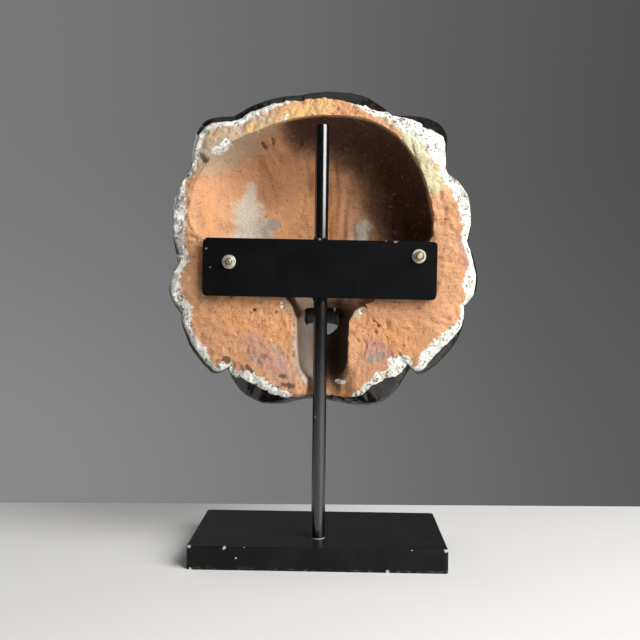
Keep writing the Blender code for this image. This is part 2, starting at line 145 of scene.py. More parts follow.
# Width of the dark glaze that shows outside the clay from behind, by angle
DARK_WIDTHS = (
    (0, 0.018), (20, 0.010), (36, 0.006), (41, 0.030), (49, 0.084), (57, 0.040), (64, 0.012), (68, 0.058),
    (77, 0.078), (88, 0.060), (100, 0.050), (112, 0.053), (124, 0.056), (131, 0.056), (138, 0.038),
    (146, 0.022), (156, 0.020), (175, 0.018), (190, 0.024), (200, 0.022), (212, 0.026), (222, 0.034),
    (230, 0.026), (234, 0.014), (240, 0.080), (248, 0.100), (258, 0.050), (270, 0.036), (283, 0.064),
    (294, 0.130), (302, 0.064), (309, 0.032), (316, 0.054), (324, 0.052), (331, 0.022), (340, 0.010),
    (348, 0.022), (356, 0.022),
)
# Dents and pulled-out crumbs in the clay, seen from behind: across, up and size
DENTS = (
    (-0.38, 0.66, 0.028), (-0.335, 0.665, 0.018), (-0.324, 0.71, 0.022), (-0.474, 0.613, 0.016),
    (-0.455, 0.62, 0.012), (-0.409, -0.381, 0.012), (-0.44, -0.40, 0.010), (0.43, 0.79, 0.022),
    (-0.147, 0.709, 0.018), (0.36, -0.47, 0.014), (0.345, -0.51, 0.016), (0.33, -0.44, 0.011),
    (0.76, 0.19, 0.012), (-0.60, 0.47, 0.012),
)


def smoothstep(low, high, value):
    share = np.clip((value - low) / (high - low), 0, 1)
    return share * share * (3 - 2 * share)


def wrapped(degrees):
    return (degrees + 180) % 360 - 180


def bump(across, up, at, half, power=2.0):
    """A round hill one high, that ends at an ellipse."""
    reach = ((across - at[0]) / half[0]) ** 2 + ((up - at[1]) / half[1]) ** 2
    return np.clip(1 - reach, 0, 1) ** power


def ridge(across, up, start, end, width, power=1.5):
    """A hill one high along a straight line, with round ends."""
    run = (end[0] - start[0], end[1] - start[1])
    length = run[0] ** 2 + run[1] ** 2
    along = np.clip(((across - start[0]) * run[0] + (up - start[1]) * run[1]) / length, 0, 1)
    reach = (across - start[0] - along * run[0]) ** 2 + (up - start[1] - along * run[1]) ** 2
    return np.clip(1 - reach / width ** 2, 0, 1) ** power


def grain(points, size, seed):
    """Smooth noise between -1 and 1 at each point, whose bumps are about size across."""
    place = points / size + seed * 17.31
    base = np.floor(place).astype(np.int64)
    part = place - base
    part = part * part * (3 - 2 * part)
    total = np.zeros(len(points))
    for corner in itertools.product((0, 1), repeat=points.shape[1]):
        at = base + corner
        code = np.full(len(points), seed * 668265263, np.int64)
        for axis, prime in zip(range(points.shape[1]), (374761393, 2246822519, 3266489917)):
            code = (code ^ (at[:, axis] * prime)) & 0xffffffff
            code = ((code ^ (code >> 15)) * 2654435761) & 0xffffffff
        weight = np.prod(np.where(corner, part, 1 - part), axis=1)
        total += weight * (code / 2147483648.0 - 1)
    return total


def layered(points, size, seed, layers=4):
    """Several sizes of noise on top of each other."""
    return sum(grain(points, size / 2 ** step, seed + step) / 1.8 ** step for step in range(layers)) / 1.9


def lock_place(angle):
    """The mane lock at each angle: the share of the way across it, and its radius."""
    first = MANE_LOCKS[0][0]
    angle = (angle - first) % 360 + first
    across = np.zeros(angle.shape)
    radius = np.ones(angle.shape)
    count = len(MANE_LOCKS)
    for index, (start, notch, crest, height, rise, fall) in enumerate(MANE_LOCKS):
        end, next_notch = MANE_LOCKS[(index + 1) % count][:2]
        end = end if end > start else end + 360
        inside = (angle >= start) & (angle < end)
        rising = np.clip((angle - start) / (crest - start), 0, 1)
        falling = np.clip((end - angle) / (end - crest), 0, 1)
        up = notch + (height - notch) * np.sin(rising * math.pi / 2) ** rise
        down = next_notch + (height - next_notch) * np.sin(falling * math.pi / 2) ** fall
        radius = np.where(inside, np.where(angle < crest, up, down), radius)
        across = np.where(inside, (angle - start) / (end - start), across)
    return across, radius


def around(table, angle):
    """A smooth closed curve through the (angle, value) rows of a table."""
    turns = np.array([row[0] for row in table] * 3, float)
    values = np.array([row[1] for row in table] * 3, float)
    count = len(table)
    turns[:count] -= 360
    turns[2 * count:] += 360
    angle = (np.asarray(angle, float) - turns[count]) % 360 + turns[count]
    slopes = np.gradient(values, turns)
    index = np.clip(np.searchsorted(turns, angle, side="right") - 1, 0, len(turns) - 2)
    gap = turns[index + 1] - turns[index]
    part = (angle - turns[index]) / gap
    start = (1 + 2 * part) * (1 - part) ** 2 * values[index] + part * (1 - part) ** 2 * gap * slopes[index]
    end = part ** 2 * (3 - 2 * part) * values[index + 1] + part ** 2 * (part - 1) * gap * slopes[index + 1]
    return start + end


def ring_points(angle, size):
    """Points on a circle, so that noise read there closes on itself."""
    turn = np.radians(angle)
    return np.stack([np.cos(turn), np.sin(turn)], axis=1) * size


def mane_radius(angle):
    """Radius of the widest part of the mask, with the ragged ends of its strands."""
    ragged = grain(ring_points(angle, 1), 0.035, 3) * 0.003 + grain(ring_points(angle, 1), 0.10, 4) * 0.0025
    return MASK_RADIUS * (lock_place(angle)[1] + ragged)


def rim_radius(angle):
    """Outer radius of the back rim, with chips out of its edge."""
    inset = np.maximum(around(DARK_WIDTHS, angle), 0) + RIM_ROLL
    chips = np.clip(grain(ring_points(angle, 1), 0.05, 9) - 0.25, 0, 1) * 0.018
    waves = grain(ring_points(angle, 1), 0.08, 11) * 0.004
    return mane_radius(angle) - MASK_RADIUS * (inset + chips + waves)


def edge_depth(angle):
    chin = ROD_REACH + MASK_WALL - RIM_DEPTH
    return RIM_DEPTH + chin * np.exp(-(wrapped(angle - 270) / CHIN_SPREAD) ** 4)


def strands(place, share, count, seed):
    """Fine grooves that run along a lock."""
    wander = 0.35 * np.sin(share * 9 + seed)
    fine = np.abs(np.sin(math.pi * count * place + wander)) ** 0.8
    return fine + 0.5 * np.abs(np.sin(math.pi * (2.3 * count) * place + 2 * wander))


def mane_relief(across, angle, share):
    """Height of the locks over the dome, as a share of MASK_RADIUS."""
    side = np.clip(across * 5, -1, 1)
    place = lock_place(angle + side * 14 * smoothstep(1.0, 0.55, share))[0]
    outer = 0.070 * np.sin(math.pi * place) ** 0.6 + 0.022 * np.abs(np.sin(2 * math.pi * place))
    outer = outer + 0.013 * strands(place, share, 5, 1)
    outer = outer * smoothstep(0.50, 0.70, share)
    # Inner ring of locks, whose tips lie over the outer ring
    turn = -side * 34 * (share - 0.55)
    place = ((angle + 90 + turn) / INNER_LOCK_PITCH) % 1
    tip = 0.86 - 0.75 * np.abs(place - 0.5) ** 2
    inner = 0.060 + 0.070 * np.sin(math.pi * place) ** 0.8 + 0.014 * strands(place, share, 4, 2)
    inner = inner * smoothstep(0, 0.06, tip - share)
    return np.maximum(outer, inner)


def face_relief(across, up):
    """Height of the lion's face over the dome, as a share of MASK_RADIUS."""
    side = np.abs(across)
    height = 0.085 * bump(side, up, (0, -0.05), (0.52, 0.70), 1.0)
    # Forehead, brow and cheek
    height += 0.075 * bump(side, up, (0.17, 0.42), (0.20, 0.21))
    height += 0.110 * ridge(side, up, (0.11, 0.225), (0.36, 0.300), 0.120)
    height += 0.075 * bump(side, up, (0.37, -0.14), (0.19, 0.26))
    # Eye, sunk under the brow, with its lids and pupil
    height -= 0.115 * bump(side, up, (0.235, 0.080), (0.190, 0.130), 1.3)
    height += 0.100 * bump(side, up, (0.230, 0.075), (0.100, 0.080), 0.9)
    height += 0.026 * ridge(side, up, (0.125, 0.055), (0.190, 0.130), 0.022)
    height += 0.030 * ridge(side, up, (0.190, 0.130), (0.275, 0.138), 0.024)
    height += 0.026 * ridge(side, up, (0.275, 0.138), (0.345, 0.085), 0.022)
    height += 0.020 * ridge(side, up, (0.130, 0.040), (0.230, 0.008), 0.020)
    height += 0.020 * ridge(side, up, (0.230, 0.008), (0.335, 0.060), 0.020)
    height -= 0.024 * bump(side, up, (0.222, 0.082), (0.030, 0.030), 0.7)
    # Nose with its pad, nostrils and the creases over it
    height += 0.135 * ridge(side, up, (0, 0.26), (0, -0.12), 0.135, 0.9)
    height += 0.105 * bump(side, up, (0, -0.165), (0.170, 0.100), 0.9)
    height -= 0.070 * bump(side, up, (0.088, -0.195), (0.048, 0.034), 0.8)
    for crease in range(3):
        drop = 0.045 * crease
        height -= 0.012 * ridge(side, up, (0.020, 0.16 - drop), (0.085, 0.20 - drop), 0.014)
    # Muzzle, parted under the nose, with rows of whisker pits, over the open mouth
    height += 0.200 * bump(side, up, (0.150, -0.310), (0.235, 0.180), 1.0)
    height -= 0.050 * ridge(side, up, (0, -0.250), (0, -0.430), 0.034)
    for row, column in itertools.product(range(3), range(4)):
        pit = (0.120 + 0.052 * column, -0.285 - 0.048 * row + 0.012 * column)
        height -= 0.014 * bump(side, up, pit, (0.014, 0.014))
    height -= 0.020 * bump(side, up, (0, -0.560), (0.260, 0.135), 1.4)
    height -= 0.070 * ridge(side, up, (0.160, -0.510), (0.290, -0.610), 0.050)
    # Lower lip and chin
    height += 0.060 * ridge(side, up, (0, -0.690), (0.140, -0.660), 0.055)
    height += 0.130 * bump(side, up, (0, -0.750), (0.220, 0.150))
    # Short fur: combed grooves on the cheeks and the forehead
    comb = np.abs(np.sin(46 * (side + 0.55 * up)))
    height += 0.008 * comb * bump(side, up, (0.38, -0.16), (0.22, 0.30), 0.6)
    comb = np.abs(np.sin(52 * side + 6 * up))
    height += 0.008 * comb * bump(side, up, (0.10, 0.46), (0.28, 0.20), 0.6)
    return height


def ear_relief(across, up):
    """Height of the ears at the upper corners, as a share of MASK_RADIUS."""
    side = np.abs(across)
    shell = 0.250 * bump(side, up, (0.640, 0.650), (0.230, 0.250), 0.6)
    bowl = 0.170 * bump(side, up, (0.610, 0.620), (0.130, 0.150), 1.0)
    tufts = 0.016 * np.abs(np.sin(55 * (side - up))) * bump(side, up, (0.600, 0.600), (0.130, 0.150), 0.7)
    return shell - bowl + tufts


def front_height(across, up, angle, share):
    """Distance of the front surface from the back rim's plane. The places are shares of MASK_RADIUS."""
    dome = (1 - np.clip(share, 0, 1) ** 2.6) ** 0.62
    face_edge = np.sqrt((across / 0.44) ** 2 + ((up + 0.04) / 0.60) ** 2)
    in_face = 1 - smoothstep(0.90, 1.10, face_edge)
    edge_fade = np.clip(1 - share ** 8, 0, 1) ** 0.5
    carving = (1 - in_face) * mane_relief(across, angle, share)
    carving = carving + face_relief(across, up)
    carving = np.maximum(carving, ear_relief(across, up))
    edge = edge_depth(angle)
    points = np.stack([across, up], axis=1) * MASK_RADIUS
    rough = 0.0005 * layered(points, 0.012, 31) + 0.0002 * grain(points, 0.0026, 35)
    return edge + (MASK_DEPTH - edge) * (0.60 * dome + carving * edge_fade * 1.30) + rough * edge_fade


def hollow_depth(angle, radius):
    """Depth of the hollow behind the face: steep above, sloping on the right, gentle on the left."""
    edge = around(HOLLOW_EDGE, angle)
    inward = np.clip(radius / edge, 0, 1)
    right = np.exp(-(wrapped(angle - 12) / 34) ** 4)
    steep = (1 - inward ** 7) ** 0.55
    slope = (1 - inward ** 4.2) ** 0.70
    gentle = (1 - inward ** 2.2) ** 1.15
    ease = np.exp(-(wrapped(angle - 172) / 28) ** 4)
    return HOLLOW_DEPTH * ((steep * (1 - right) + slope * right) * (1 - ease) + gentle * ease)


def channel_place(across, up):
    """How far across the pipe channel a point is, from 0 at its middle to 1 at its edges."""
    heights = [row[0] for row in CHANNEL_EDGES][::-1]
    left = np.interp(up, heights, [row[1] for row in CHANNEL_EDGES][::-1])
    right = np.interp(up, heights, [row[2] for row in CHANNEL_EDGES][::-1])
    return np.abs((across - (left + right) / 2) / ((right - left) / 2))


def back_depth(across, up, angle, radius):
    """Distance of the back surface from the back rim's plane. The places are shares of MASK_RADIUS."""
    hollow = hollow_depth(angle, radius)
    off = channel_place(across, up)
    section = np.clip(1 - off ** 3.5, 0, 1) ** 0.5
    fall = np.clip((MOUTH_AT - up) / (MOUTH_AT - CHANNEL_END), 0, 1)
    run = np.sqrt(np.clip(1 - fall ** 2.2, 0, 1)) * (up < -0.12)
    channel = CHANNEL_DEPTH * section * run
    # Saddle under the channel, where the rod crosses the chin: steep on the left, easy on the right
    reach = ROD_REACH * smoothstep(-0.70, -0.83, up)
    place = across * MASK_RADIUS
    saddle = reach * (1 - smoothstep(0.0085, 0.0125, -place)) * (1 - smoothstep(0.0090, 0.0330, place))
    depth = np.maximum(np.maximum(hollow, channel), saddle)
    return depth + back_wear(across, up, angle, radius, depth)


def back_wear(across, up, angle, radius, depth):
    """Finger and tool marks, dents, cracks and the uneven rim. Only ever takes clay away near the rim."""
    points = np.stack([across, up], axis=1) * MASK_RADIUS
    inside = smoothstep(0.002, 0.016, depth)
    rim = 1 - inside
    # The hand-wiped flat parts are a little hollow and slope off at the outer edge
    edge = np.clip((radius - (lock_place(angle)[1] - 0.16)) / 0.13, 0, 1)
    wear = rim * (0.0016 * (1 + layered(points, 0.034, 41)) + 0.0026 * edge ** 2)
    wear = wear + rim * 0.0012 * (1 + layered(points, 0.008, 45))
    wear = wear + rim * 0.0005 * (1 + grain(points, 0.0028, 47))
    wear = wear + rim * 0.0018 * np.clip(grain(points, 0.0045, 49) - 0.55, 0, 1) / 0.45
    wear = wear + rim * 0.0016 * edge * (1 + grain(points, 0.0052, 51))
    # Drag marks of the fingers inside the hollow, upright on the right and slanting on the left
    drag = np.stack([points[:, 0] / 0.0045 + 0.3 * np.sin(points[:, 1] * 90), points[:, 1] / 0.030], axis=1)
    wear = wear + inside * 0.0017 * grain(drag, 1.0, 53) * smoothstep(-0.35, 0.1, across)
    drag = points @ np.array([[1.0, -0.5], [0.5, 1.0]]) / (0.007, 0.032)
    wear = wear + inside * 0.0012 * grain(drag, 1.0, 57) * smoothstep(0.2, -0.3, across)
    wear = wear + inside * (0.0026 * grain(points, 0.024, 61) + 0.0011 * layered(points, 0.008, 65))
    # Upright soft rib inside the hollow and the bowl of the eye to its right
    wear = wear - inside * 0.007 * ridge(across, up, (-0.30, 0.62), (-0.31, 0.10), 0.13)
    wear = wear + inside * 0.006 * bump(across, up, (-0.10, 0.42), (0.20, 0.24))
    # Crack along the inner edge on the right
    shake = 0.010 * grain(points, 0.007, 69)
    for start, end in (((0.560, 0.640), (0.640, 0.373)), ((0.640, 0.373), (0.692, 0.060))):
        wear = wear + 0.0022 * ridge(across + shake, up, start, end, 0.0085, 0.8)
    # Dents and pulled-out crumbs
    for x, y, size in DENTS:
        wear = wear + 0.0028 * bump(across, up, (x, y), (size, size * 0.8), 0.8)
    # Comb of scratches on the left of the lower pad
    comb = np.abs(np.sin((across * 0.8 + up) * 150))
    wear = wear + 0.0009 * comb * bump(across, up, (-0.70, -0.47), (0.10, 0.09), 0.6)
    return wear


def back_front_limit(across, up, angle, radius_share, depth):
    """Keeps the clay's wall under the deepest carving of the front."""
    front = front_height(across, up, angle, radius_share)
    return np.minimum(depth, np.maximum(front - MASK_WALL, 0))


def sheet_places(verts):
    """Angle in degrees and share of the radius of each point of a square sheet pressed into a disc."""
    flat = np.array([vert.co[:2] for vert in verts])
    ring = np.abs(flat).max(axis=1)
    x, y = (flat / np.maximum(ring, 1e-9)[:, None]).T
    angle = np.arctan2(y * np.sqrt(1 - x ** 2 / 2), x * np.sqrt(1 - y ** 2 / 2))
    return np.degrees(angle), ring


def put(verts, across, up, depth):
    for vert, a, u, d in zip(verts, across, up, depth):
        vert.co = (-a, RIM_Y - d, MASK_MIDDLE + u)


def front_sheet(mesh):
    verts = bmesh.ops.create_grid(mesh, x_segments=CELLS, y_segments=CELLS, size=1)["verts"]
    angle, step = sheet_places(verts)
    share = 0.62 * step + 0.38 * np.sin(step * math.pi / 2)
    radius = share * mane_radius(angle)
    across = radius * np.cos(np.radians(angle))
    up = radius * np.sin(np.radians(angle))
    put(verts, across, up, front_height(across / MASK_RADIUS, up / MASK_RADIUS, angle, share))
    return verts


def back_sheet(mesh):
    verts = bmesh.ops.create_grid(mesh, x_segments=CELLS, y_segments=CELLS, size=1)["verts"]
    angle, step = sheet_places(verts)
    rim = rim_radius(angle)
    guide = np.maximum(MASK_RADIUS * around(HOLLOW_EDGE, angle), 0.70 * rim)
    edge_step = round(EDGE_RING * CELLS / 2) / (CELLS / 2)
    radius = np.where(step < edge_step, guide * np.clip(step / edge_step, 0, 1),
                      guide + (rim - guide) * (step - edge_step) / (1 - edge_step))
    across = radius * np.cos(np.radians(angle))
    up = radius * np.sin(np.radians(angle))
    wide = (across / MASK_RADIUS, up / MASK_RADIUS, angle)
    depth = back_depth(*wide, radius / MASK_RADIUS)
    share = np.clip(radius / mane_radius(angle), 0, 1)
    put(verts, across, up, back_front_limit(*wide, share, depth))
    return verts


def open_edges(verts):
    chosen = set(verts)
    return [edge for edge in {e for vert in verts for e in vert.link_edges}
            if edge.is_boundary and chosen.issuperset(edge.verts)]


def side_wall(mesh, front, back):
    """Rolls the side of the mane back from its widest line to the rim."""
    loop = open_edges(front)
    for ring in range(1, SIDE_RINGS):
        step = ring / SIDE_RINGS
        grown = bmesh.ops.extrude_edge_only(mesh, edges=loop)["geom"]
        loop = [item for item in grown if isinstance(item, bmesh.types.BMEdge) and item.is_boundary]
        verts = list({vert for edge in loop for vert in edge.verts})
        across = np.array([-vert.co.x for vert in verts])
        up = np.array([vert.co.z - MASK_MIDDLE for vert in verts])
        angle = np.degrees(np.arctan2(up, across))
        rim = rim_radius(angle)
        radius = rim + (mane_radius(angle) - rim) * (1 - step ** SIDE_TURN)
        turn = np.radians(angle)
        wide = (rim * np.cos(turn) / MASK_RADIUS, rim * np.sin(turn) / MASK_RADIUS, angle)
        low = back_depth(*wide, rim / MASK_RADIUS)
        depth = edge_depth(angle) * (1 - step) + low * step
        put(verts, radius * np.cos(turn), radius * np.sin(turn), depth)
    bmesh.ops.bridge_loops(mesh, edges=loop + open_edges(back))


def make_object(name, mesh, smooth_under=None):
    """Writes a bmesh to a new object and links it. Edges that bend less than smooth_under are smooth."""
    mesh.normal_update()
    bmesh.ops.recalc_face_normals(mesh, faces=mesh.faces)
    data = bpy.data.meshes.new(name)
    mesh.to_mesh(data)
    mesh.free()
    if smooth_under:
        data.shade_smooth()
        data.set_sharp_from_angle(angle=math.radians(smooth_under))
    item = bpy.data.objects.new(name, data)
    bpy.context.scene.collection.objects.link(item)
    return item


def turned(mesh, rows, sides, matrix=Matrix()):
    """Adds a shape turned about Z to a bmesh. A row is its height and its radius, at every side or as one
    number. The first and the last row close the shape: both have no radius, or they are the same."""
    verts = bmesh.ops.create_grid(mesh, x_segments=sides, y_segments=len(rows) - 1, size=1)["verts"]
    for vert in verts:
        side = round((vert.co.x + 1) / 2 * sides) % sides
        height, radius = rows[round((vert.co.y + 1) / 2 * (len(rows) - 1))]
        out = radius[side] if np.ndim(radius) else radius
        turn = side * math.tau / sides
        vert.co = matrix @ Vector((out * math.cos(turn), out * math.sin(turn), height))
    bmesh.ops.remove_doubles(mesh, verts=verts, dist=1e-7)


def fixing_places():
    """Name and place of each fixing on the tilted plate, with +Z turned to the back."""
    for name, side, inset, rise in FIXINGS:
        along = side * (PLATE_WIDTH / 2 - inset)
        x = PLATE_SHIFT + along * math.cos(PLATE_TILT) - rise * math.sin(PLATE_TILT)
        z = PLATE_MIDDLE + along * math.sin(PLATE_TILT) + rise * math.cos(PLATE_TILT)
        yield name, Matrix.Translation((x, 0, z)) @ Matrix.Rotation(-math.pi / 2, 4, "X")


def mask_cutters():
    """The slanted spout hole and the two stud holes, as one bmesh."""
    mesh = bmesh.new()
    slope = Matrix.Rotation(math.pi / 2 + MOUTH_SLOPE, 4, "X")
    place = Matrix.Translation((0, RIM_Y - CHANNEL_DEPTH, MASK_MIDDLE + MOUTH_AT * MASK_RADIUS))
    oval = place @ slope @ Matrix.Diagonal((MOUTH_WIDTH, MOUTH_HEIGHT, 1, 1))
    sides = 64
    turn = np.arange(sides) * math.tau / sides
    power = np.where(np.sin(turn) > 0.01, 4.0, 2.0)
    squared = np.abs(np.sin(turn)) ** 2
    wobble = 0.5 * (np.abs(np.cos(turn)) ** power + squared) ** -0.5 + 0.008 * np.sin(5 * turn + 1)
    reach = MASK_DEPTH / 2
    turned(mesh, [(-reach, 0), (-reach, wobble), (0, wobble), (reach, wobble), (reach, 0)], sides, oval)
    bore = STUD_RADIUS + HOLE_GAP
    low = RIM_Y - STUD_HOLE_DEPTH
    for _, place in fixing_places():
        turned(mesh, [(low, 0), (low, bore), (RIM_Y + 0.01, bore), (RIM_Y + 0.01, 0)], 32, place)
    return mesh


def make_mask():
    mesh = bmesh.new()
    front = front_sheet(mesh)
    back = back_sheet(mesh)
    side_wall(mesh, front, back)
    mask = make_object("carved_mask", mesh, 70)
    cutter = make_object("spout_and_stud_holes", mask_cutters())
    modifier = mask.modifiers.new("holes", "BOOLEAN")
    modifier.operation = "DIFFERENCE"
    modifier.object = cutter
    drilled = mask.evaluated_get(bpy.context.evaluated_depsgraph_get())
    data = bpy.data.meshes.new_from_object(drilled)
    mask.modifiers.clear()
    mask.data = data
    data.name = "carved_mask"
    bpy.data.objects.remove(cutter)
    paint_fields(data)
    data.materials.clear()
    data.materials.append(clay_material())
    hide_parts("mask")
    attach(mask, "root")


# A smudge fades out this many times its half width from its middle line
SMUDGE_SPREAD = 1.35
# Stains on the back of the mask: start and end of a smudge, and half its width. Two of the dark smudges are
# painted shade instead of stains.
STAINS = {
    "chalk": (
        ((-0.665, 0.602), (-0.585, 0.655), 0.024), ((0.46, -0.71), (0.53, -0.70), 0.045),
        ((-0.61, -0.75), (-0.55, -0.79), 0.040), ((0.247, -0.375), (0.255, -0.385), 0.013),
        ((-0.245, -0.34), (-0.240, -0.36), 0.011), ((-0.235, 0.795), (-0.215, 0.820), 0.010),
        ((0.66, 0.70), (0.78, 0.58), 0.095), ((0.11, -0.825), (0.15, -0.833), 0.014),
        ((0.56, 0.76), (0.66, 0.70), 0.050),
    ),
    "grey": (
        ((-0.468, 0.420), (-0.476, 0.30), 0.042), ((-0.480, 0.25), (-0.470, 0.06), 0.098),
        ((-0.400, 0.17), (-0.370, 0.06), 0.060), ((0.275, 0.16), (0.245, 0.06), 0.060),
        ((-0.060, -0.50), (-0.055, -0.76), 0.085),
    ),
    "ash": (
        ((-0.320, 0.175), (-0.318, 0.174), 0.040), ((0.30, -0.68), (0.37, -0.66), 0.022),
        ((-0.43, -0.68), (-0.38, -0.71), 0.016),
    ),
    "dark": (
        ((-0.45, -0.735), (-0.37, -0.835), 0.014), ((-0.37, -0.835), (-0.26, -0.875), 0.020),
        ((-0.240, -0.790), (-0.215, -0.795), 0.014), ((-0.230, -0.845), (-0.165, -0.852), 0.015),
        ((-0.409, -0.381), (-0.408, -0.380), 0.011), ((-0.745, 0.575), (-0.725, 0.545), 0.016),
        ((-0.273, -0.392), (-0.272, -0.391), 0.011), ((0.640, 0.373), (0.690, 0.060), 0.006),
        ((-0.39, 0.69), (-0.37, 0.665), 0.010), ((-0.325, 0.72), (-0.318, 0.69), 0.008),
        # The last two dark smudges are painted shade: the shaded right wall of the pipe channel, and the
        # rod's shadow down the channel's left edge.
        ((-0.578, -0.695), (-0.590, -0.700), 0.024), ((0.10, -0.46), (0.11, -0.76), 0.065),
        ((-0.185, -0.30), (-0.145, -0.42), 0.012),
    ),
}
# Broad soft changes of colour, written the same way. The brown tint is partly the clay's own brown and
# partly painted shade in the hollow and the pipe channel, and one pale smudge is a painted highlight
TINTS = {
    "orange": (
        ((-0.22, 0.26), (-0.19, 0.08), 0.090), ((-0.72, 0.30), (-0.70, 0.12), 0.030),
        ((0.06, 0.36), (0.08, 0.14), 0.070), ((-0.14, 0.36), (-0.08, 0.20), 0.050),
        ((-0.55, -0.45), (-0.25, -0.50), 0.140),
        ((0.30, -0.50), (0.55, -0.55), 0.120), ((0.16, -0.88), (0.26, -0.90), 0.070),
    ),
    "gold": (
        ((-0.25, 0.80), (0.02, 0.880), 0.060), ((-0.38, 0.740), (-0.33, 0.765), 0.024),
        ((0.705, 0.502), (0.706, 0.500), 0.030), ((0.740, 0.428), (0.745, 0.424), 0.030),
        ((0.43, 0.800), (0.47, 0.795), 0.030), ((-0.83, -0.45), (-0.82, -0.46), 0.026),
        ((-0.46, 0.735), (-0.43, 0.755), 0.026), ((0.780, 0.395), (0.785, 0.390), 0.022),
    ),
    "green": (
        ((0.53, 0.68), (0.610, 0.575), 0.050), ((0.610, 0.575), (0.700, 0.400), 0.056),
        ((-0.40, 0.72), (-0.35, 0.74), 0.020),
    ),
    # The brown tint is partly the clay's own dark brown and partly painted shade: it darkens the hollow
    # under the top of the rim, down its right side and on the channel's right wall, and its last smudge is
    # the rod's painted shadow along the channel's left edge.
    "brown_and_shade": (
        ((-0.12, 0.79), (0.14, 0.77), 0.150), ((0.18, 0.74), (0.44, 0.64), 0.200),
        ((0.46, 0.58), (0.58, 0.16), 0.270), ((0.62, 0.40), (0.66, 0.06), 0.080),
        ((0.10, -0.42), (0.12, -0.76), 0.130), ((-0.24, -0.29), (-0.16, -0.40), 0.040),
    ),
    "pink": (
        ((-0.42, -0.58), (-0.20, -0.78), 0.080), ((0.34, -0.60), (0.42, -0.68), 0.070),
        ((0.79, 0.64), (0.80, 0.56), 0.026), ((0.86, 0.05), (0.90, -0.08), 0.030),
    ),
    "pale_and_highlight": (
        ((-0.72, 0.58), (-0.50, 0.74), 0.130), ((0.40, 0.83), (0.50, 0.78), 0.060),
        # On the next line, the narrow second smudge along the channel's left edge is a painted highlight;
        # the other pale smudges are the clay's own paler colour.
        ((-0.16, -0.33), (0.20, -0.37), 0.070), ((-0.160, -0.42), (-0.150, -0.74), 0.016),
        ((-0.50, 0.74), (-0.30, 0.80), 0.050), ((-0.275, -0.62), (-0.215, -0.76), 0.026),
        ((-0.05, -0.38), (0.05, -0.40), 0.080),
    ),
}
# Chips in the lacquer of the base, seen from behind: X, Z and size
BASE_CHIPS = (
    (0.0785, 0.0190, 0.0015), (0.0615, 0.0196, 0.0007), (0.0685, 0.0105, 0.0004),
    (-0.0800, 0.0195, 0.0005), (-0.0600, 0.0010, 0.0018), (0.1085, 0.0198, 0.0020),
    (-0.1090, 0.0198, 0.0022), (0.1070, 0.0006, 0.0012),
)
# Rubbed places on the plate, seen from behind: X, Z and size
PAINT_CHIPS = (
    (0.1005, 0.2808, 0.0022), (0.0985, 0.2720, 0.0010), (0.0950, 0.2560, 0.0009),
    (-0.0640, 0.2800, 0.0024), (-0.0990, 0.2798, 0.0014), (-0.0560, 0.2803, 0.0014),
    (-0.0995, 0.2330, 0.0008), (0.0030, 0.1266, 0.0012), (0.0010, 0.2806, 0.0012),
)


def paint_fields(data):
    """Writes where the glaze, the chalk and each stain lie to attributes of the mask's points."""
    place = np.empty(len(data.vertices) * 3)
    data.vertices.foreach_get("co", place)
    place = place.reshape(-1, 3)
    across = -place[:, 0] / MASK_RADIUS
    up = (place[:, 2] - MASK_MIDDLE) / MASK_RADIUS
    depth = RIM_Y - place[:, 1]
    flat = np.stack([across, up], axis=1) * MASK_RADIUS
    radius = np.hypot(flat[:, 0], flat[:, 1])
    angle = np.degrees(np.arctan2(up, across))
    share = np.clip(radius / mane_radius(angle), 0, 1)
    front = front_height(across, up, angle, share)
    back = back_front_limit(across, up, angle, share, back_depth(across, up, angle, radius / MASK_RADIUS))
    on_front = smoothstep(0.62, 0.80, (depth - back) / np.maximum(front - back, 0.004))
    # The glaze runs round the mane to an uneven line outside the clay, and through the spout hole
    line = mane_radius(angle) - MASK_RADIUS * around(DARK_WIDTHS, angle) + 0.0012 * layered(flat, 0.010, 71)
    glaze = np.maximum(on_front, smoothstep(-0.0004, 0.0006, radius - line))
    spout = ridge(across, up, (-0.08, -0.410), (0.11, -0.410), 0.050, 0.7) * (depth > 0.034)
    glaze = np.maximum(glaze, spout)
    fields = {name: np.zeros(len(across)) for name in (*STAINS, *TINTS)}
    for name, smudges in (*STAINS.items(), *TINTS.items()):
        for start, end, width in smudges:
            smudge = ridge(across, up, start, end, width * SMUDGE_SPREAD, 1.0)
            fields[name] = np.maximum(fields[name], smudge)
    inward = (line - radius) / MASK_RADIUS
    width = around(CHALK_WIDTHS, angle) + 0.016
    band = smoothstep(1.55, 0.35, inward / width) * smoothstep(0.016, 0.028, width)
    fields["chalk"] = np.maximum(fields["chalk"], band) * (1 - on_front)
    fields["glaze"] = glaze
    # Glaze is thin on the crests of the carving and at the outer edge of the mane
    smooth_front = edge_depth(angle) + (MASK_DEPTH - edge_depth(angle)) * 0.60 * (1 - share ** 2.6) ** 0.62
    fields["thin"] = smoothstep(0.004, 0.016, front - smooth_front) * on_front
    fields["inside"] = smoothstep(0.004, 0.020, depth) * (1 - on_front)
    for name, values in fields.items():
        layer = data.attributes.new(name, "FLOAT", "POINT")
        layer.data.foreach_set("value", values.astype(np.float32))


